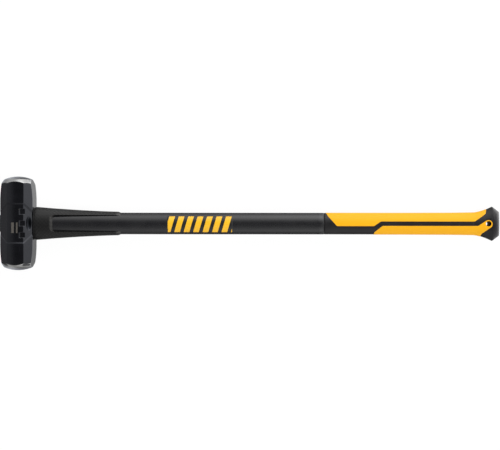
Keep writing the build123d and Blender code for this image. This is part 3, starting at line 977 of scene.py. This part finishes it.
def make_panel(name, loop, holes, cad_node):
    """Raised panel over the grip: a rim that rounds over, and an even skin inside it.

    The outline and the holes are closed loops on the unrolled grip. Points on a
    hexagonal grid fill them, and the same triangles make the underside.
    """
    loops = [loop] + holes
    counts = [len(one) for one in loops]
    rims = [[inset_loop(one, distance) for distance, _ in RIM_STEPS] for one in loops]
    spacing = 1.7
    low, high = loop.min(0), loop.max(0)
    across = np.arange(low[0], high[0], spacing)
    up = np.arange(low[1], high[1], spacing * 0.866)
    x, q = np.meshgrid(across, up)
    x = x + spacing / 2 * (np.arange(len(up)) % 2)[:, None]
    places = np.column_stack([x.ravel(), q.ravel()])
    room = inside_outline(places, inset_loop(loop, 1.3))
    for hole in holes:
        centre = hole.mean(axis=0)
        reach = np.linalg.norm(hole - centre, axis=1).max() + 1.2
        room &= np.linalg.norm(places - centre, axis=1) > reach
    fill = places[room]
    border = np.vstack([rim[-1] for rim in rims])
    flat = np.vstack([border, fill])
    starts = np.r_[0, np.cumsum(counts)]
    edges = np.vstack([
        start + np.column_stack([np.arange(count), np.roll(np.arange(count), -1)])
        for start, count in zip(starts, counts)
    ])
    found = delaunay_2d_cdt(flat.tolist(), edges.tolist(), [], 0, 1e-7)
    plane, triangles = np.array(found[0]), np.array(found[2])
    middle = plane[triangles].mean(axis=1)
    keep = inside_outline(middle, rims[0][-1])
    for rim in rims[1:]:
        keep &= ~inside_outline(middle, rim[-1])
    triangles = triangles[keep]
    assert len(plane) == len(flat) and np.allclose(plane, flat, atol=1e-4), name
    # top skin, then for each loop its other rim rows, then the underside's inner points
    top = len(flat)
    places_all, lifts, faces = [flat], [np.full(top, PANEL_PROUD)], [triangles]
    number = top
    under = np.full(top, -1)
    for start, count, rim in zip(starts, counts, rims):
        table = []
        for row, (_, lift) in zip(rim[:-1], RIM_STEPS[:-1]):
            table.append(number + np.arange(count))
            places_all.append(row)
            lifts.append(np.full(count, lift))
            number += count
        table.append(start + np.arange(count))
        under[start:start + count] = table[0]
        faces.append(quads(wrapped(np.array(table))))
    under[starts[-1]:] = number + np.arange(len(fill))
    places_all.append(fill)
    lifts.append(np.full(len(fill), -PANEL_SUNK))
    faces.append(under[triangles][:, ::-1])
    surface = np.vstack(places_all)
    points = grip_point(surface[:, 0], surface[:, 1] / UNROLL, np.concatenate(lifts))
    add_piece(name, points, faces, panel_rubber, cad_node, surface)


STRIPE_HALF_WIDTH = 4.0
UPPER_OUTLINE = [
    (PANEL_START_X, 25.0), (139.9, 19.6), (144.0, 12.7), (159.5, -4.6), (226.9, -4.6),
    (239.4, STRIPE_HALF_WIDTH), (410.0, STRIPE_HALF_WIDTH), (429.9, 17.9), (431.3, 22.0),
    (433.2, 27.5), (433.5, 40.0),
]
RAKE = np.radians(34)
RING_X, RING_Y, RING_RADIUS = TETHER_X - 0.3, -0.7, 7.5
ring_turn = np.linspace(np.pi / 2, -np.pi / 2, 25) + RAKE
ring_reach = RING_RADIUS * np.column_stack([np.cos(ring_turn), np.sin(ring_turn)])
ring = np.array([RING_X, RING_Y]) + ring_reach
upper_rise = (ring[0, 1] + STRIPE_HALF_WIDTH) / np.tan(RAKE)
LOWER_OUTLINE = [
    (226.9, -40.0), (226.9, -20.0), (228.8, -14.8), (242.6, -STRIPE_HALF_WIDTH),
    (ring[0, 0] - upper_rise, -STRIPE_HALF_WIDTH), *ring.tolist(),
    (423.4, -17.9), (422.6, -20.5), (422.5, -40.0),
]


def tether_loop(face_turn):
    """The tether hole's edge on the unrolled grip, clockwise, on one face."""
    turn = full_turn(48)
    x = TETHER_X + TETHER_RADIUS * np.cos(turn)
    angle = np.arcsin(TETHER_RADIUS * np.sin(turn) / grip_half_height(x))
    if face_turn == 0:
        return np.column_stack([x, UNROLL * angle])[::-1]
    return np.column_stack([x, UNROLL * (face_turn - angle)])


make_panel("grip_panel_upper", unrolled(UPPER_OUTLINE, 1), [], "grip_upper_panel")
make_panel("grip_panel_lower", unrolled(LOWER_OUTLINE, -1),
           [tether_loop(0), tether_loop(-np.pi)], "grip_lower_panel")


def make_grip_sleeve():
    """Black rubber under and between the panels: an oval tube on the grip's curve."""
    outer_x = np.linspace(GRIP_START_X, CAP_START_X, 90)
    outer = profile_rows(outer_x, grip_half_height(outer_x), grip_half_depth(outer_x))
    outer[0, 1:] -= 0.25
    inner = profile_rows([CAP_START_X, GRIP_START_X], *UNDER_GRIP)
    points, faces = lathe(np.vstack([outer, inner]), 144)
    add_piece("grip_underlay", points, faces, grip_rubber, "grip_sleeve")


def make_butt():
    """Flared rubber end: rows of ovals from the grip to the ridge and round the end.

    The tether hole is bored from the upper face to the lower one.
    """
    flare_x = np.linspace(CAP_START_X, RIDGE_X, 42)
    flare = profile_rows(flare_x, grip_half_height(flare_x), grip_half_depth(flare_x))
    turn = np.linspace(0, np.pi / 2, 30)[1:]
    end_x = RIDGE_X + (BUTT_END_X - RIDGE_X) * np.sin(turn)
    slant = np.interp(end_x, [RIDGE_X, RIDGE_X + 1.2, 456.3, 456.8, 457.05, BUTT_END_X],
                      [RIDGE_HALF_HEIGHT, RIDGE_HALF_HEIGHT - 0.35, 22.2, 21.6, 20.8, 18.8])
    end = profile_rows(end_x, slant, RIDGE_HALF_DEPTH * np.cos(turn) + 0.6 * np.sin(turn))
    mouth = profile_rows([416.0, CAP_START_X], *UNDER_GRIP)
    rows = np.vstack([mouth, flare, end])
    columns = 160
    grid = oval_ring(*rows.T, full_turn(columns))
    index = numbered(grid)
    block = np.arange(-14, 15)
    near, far = block % columns, columns // 2 - block
    hole_rows = np.flatnonzero(np.abs(rows[:, 0] - TETHER_X) < TETHER_OUTER_RADIUS + 1.3)
    hole_rows = hole_rows[hole_rows >= len(mouth)]

    def hole_rings(near_edge, far_edge):
        """Rings from the block's edge to the hole's edge, and through the hole."""
        turn = np.arctan2(near_edge[:, 1], near_edge[:, 0] - TETHER_X)
        x = TETHER_X + TETHER_OUTER_RADIUS * np.cos(turn)
        y = TETHER_OUTER_RADIUS * np.sin(turn)
        upper, lower = (
            np.column_stack([x, y, AXIS_Z + side * grip_rise(x, y)]) for side in (1, -1)
        )
        return np.vstack([between(near_edge, upper, 2), upper[None], between(upper, lower, 5),
                          lower[None], between(lower, far_edge, 2)])

    points, faces = bored(grid.reshape(-1, 3), index, hole_rows, near, far, hole_rings)
    ends = np.array([[rows[0, 0], 0, AXIS_Z], [rows[-1, 0], 0, AXIS_Z]])
    faces += capped(index, len(points))
    add_piece("butt_end", np.vstack([points, ends]), faces, grip_rubber,
              "butt_cap")


def make_tether_sleeve():
    """Hard sleeve of the tether hole: a tube whose ends follow the grip's surface."""
    turn = full_turn(64)
    rows = []
    for radius, ends in ((TETHER_OUTER_RADIUS - 0.02, (1, -1)),
                         (TETHER_RADIUS + 0.02, (-1, 1))):
        x, y = TETHER_X + radius * np.cos(turn), radius * np.sin(turn)
        rise = grip_rise(x, y) - PANEL_SUNK
        rows += [np.column_stack([x, y, AXIS_Z + side * rise]) for side in ends]
    points = np.array(rows)
    index = numbered(points)
    faces = [quads(wrapped(np.vstack([index, index[:1]])))]
    add_piece("tether_bush", points.reshape(-1, 3), faces, sleeve_plastic,
              "tether_sleeve")


def make_label(name, face, cad_node):
    """Thin film on one face of the shaft: an even grid on the oval, with an underside."""
    film = 0.18
    along, across = (np.linspace(label_low[k], label_high[k], 60 - 30 * k) for k in (0, 1))
    x, y = np.meshgrid(along, across, indexing="ij")
    turn = np.arcsin(y / SHAFT_HALF_HEIGHT)
    skins = []
    for lift in (film, 0.0):
        high, deep = SHAFT_HALF_HEIGHT + lift, SHAFT_HALF_DEPTH + lift
        z = AXIS_Z + face * deep * np.cos(turn)
        skins.append(np.stack([x, high * np.sin(turn), z], axis=-1))
    upper = numbered(skins[0])
    under = upper + x.size
    rim = np.concatenate([upper[:-1, 0], upper[-1, :-1], upper[:0:-1, -1], upper[0, :0:-1]])
    side = wrapped(np.vstack([rim, rim + x.size]))
    points = np.concatenate(skins).reshape(-1, 3)
    surface = np.column_stack([(x - label_low[0]).ravel(), y.ravel()])
    add_piece(name, points, [quads(upper), quads(under), quads(side)], label_film,
              cad_node, np.vstack([surface, surface]))


make_grip_sleeve()
make_butt()
make_tether_sleeve()
make_label("print_upper", 1, "label_front")
make_label("print_lower", -1, "label_back")

hidden = {"eye_dam": dam_rubber, "eye_epoxy": resin, "core_rod": glass_fibre}
for node_name, material in hidden.items():
    materials = frame["nodes"][node_name].data.materials
    materials.clear()
    materials.append(material)


# ---------------------------------------------------------------- stage and light

def make_floor():
    """Pale floor: one large even grid. It looks evenly lit, with only a faint shadow."""
    along = np.linspace(-6000, 6000, 9)
    points = np.stack([*np.meshgrid(along, along, indexing="ij"), np.zeros((9, 9))], axis=-1)
    mesh = new_mesh("floor", points.reshape(-1, 3), [quads(numbered(points))[:, ::-1]])
    material, tree, _ = new_material("floor_paper", Roughness=0.9, Base_Color=(0.93, 0.93, 0.93))
    paper = Wire(tree.nodes["Principled BSDF"].outputs[0])
    glow = node(tree, "ShaderNodeEmission", {"Color": (1, 1, 1), "Strength": 1.03})
    seen = Wire(node(tree, "ShaderNodeLightPath").outputs["Is Camera Ray"])
    values = {0: seen * 0.9, 1: paper, 2: Wire(glow.outputs[0])}
    mixed = node(tree, "ShaderNodeMixShader", values)
    put(Wire(mixed.outputs[0]), tree.nodes["Material Output"].inputs["Surface"])
    mesh.materials.append(material)
    floor = add_object("floor", mesh)
    floor.visible_glossy = False


def make_overhead_light():
    """Broad soft light above the hammer, on the -Y side. Gloss doesn't show it."""
    light = bpy.data.lights.new("overhead", "AREA")
    light.shape = "RECTANGLE"
    light.size, light.size_y = 2.2, 1.6
    light.energy = 32.0
    lamp = add_object("overhead", light)
    place, aim = Vector((0.3, -0.9, 2.4)), Vector((0, 0, 0.03))
    lamp.location = place
    lamp.rotation_euler = (aim - place).to_track_quat("-Z", "Y").to_euler()
    lamp.visible_glossy = False


# brightness of the surroundings at angles round the handle's axis: 0 is overhead,
# positive angles lean towards +Y, and 90 is level
BRIGHTNESS_AROUND = [
    (-180, 0.30), (-150, 0.30), (-120, 0.10), (-99, 0.28), (-82, 0.85), (-66, 1.10),
    (-42, 0.62), (-24, 0.22), (-9, 0.07), (9, 0.07), (26, 0.60), (45, 2.00), (68, 2.90),
    (84, 1.80), (92, 1.50), (108, 0.75), (132, 0.12), (156, 0.35), (170, 0.46), (180, 0.46),
]
BRIGHTEST = 3.0


def make_world():
    """Soft studio: a bright bank beyond +Y, a weaker one beyond -Y, and a dim ceiling.

    The brightness follows the angle round the handle's axis. Towards the butt's
    end it turns to a bright wall, and towards the head's end to a dim one with a
    brighter foot. x, y and z are the direction's parts.
    """
    world = bpy.data.worlds.new("studio")
    bpy.context.scene.world = world
    world.use_nodes = True
    tree = world.node_tree
    x, y, z = parts_of(Wire(node(tree, "ShaderNodeTexCoord").outputs["Generated"]))
    share = calc("ARCTAN2", y, z) * (1 / (2 * np.pi)) + 0.5
    bank = node(tree, "ShaderNodeValToRGB", {"Fac": share})
    stops = bank.color_ramp.elements
    stops.remove(stops[1])
    for number, (degrees, brightness) in enumerate(BRIGHTNESS_AROUND):
        place = degrees / 360 + 0.5
        stop = stops[0] if number == 0 else stops.new(place)
        stop.position = place
        stop.color = (*[brightness / BRIGHTEST] * 3, 1.0)
    total = Wire(bank.outputs["Color"]) * ((x.step(-0.25, 0.2) + 0.42) * BRIGHTEST)
    # beyond the butt
    butt_wall = (z.step(0.3, -0.3) * 0.3 + x).step(0.45, 0.85)
    level = (z.step(-0.5, 0.5) * 0.45 + 0.65) * (y.step(-0.045, 0.045) * 0.42 + 0.70)
    foot = z.step(0.12, -0.30) * x.step(0.3, 0.5) * (y.step(-0.35, 0.15) * 1.7 + 0.7)
    total = blend(butt_wall, total, level + foot)
    # beyond the head
    head_wall = x.step(-0.250, -0.280) * abs(y).step(0.6, 0.3)
    total = blend(head_wall, total, 0.33)
    low_wall = x.step(-0.08, -0.32) * z.step(0.08, -0.15) * x.step(-0.75, -0.45)
    total = blend(low_wall, total, 0.80)
    background = tree.nodes["Background"].inputs
    put((1.0, 1.0, 1.0), background["Color"])
    put(total, background["Strength"])


def make_camera():
    """Camera straight above the hammer, level with the middle of its length."""
    distance = 2.0
    picture_width = 0.915
    data = bpy.data.cameras.new("camera")
    data.sensor_width = 36.0
    data.lens = data.sensor_width * distance / picture_width
    camera = add_object("camera", data)
    camera.location = (0.0016, -0.0026, AXIS_Z * MM + distance)
    camera.rotation_euler = (0, 0, 0.0009)
    bpy.context.scene.camera = camera


make_floor()
make_world()
make_camera()
make_overhead_light()
bpy.context.scene.view_settings.view_transform = "Standard"
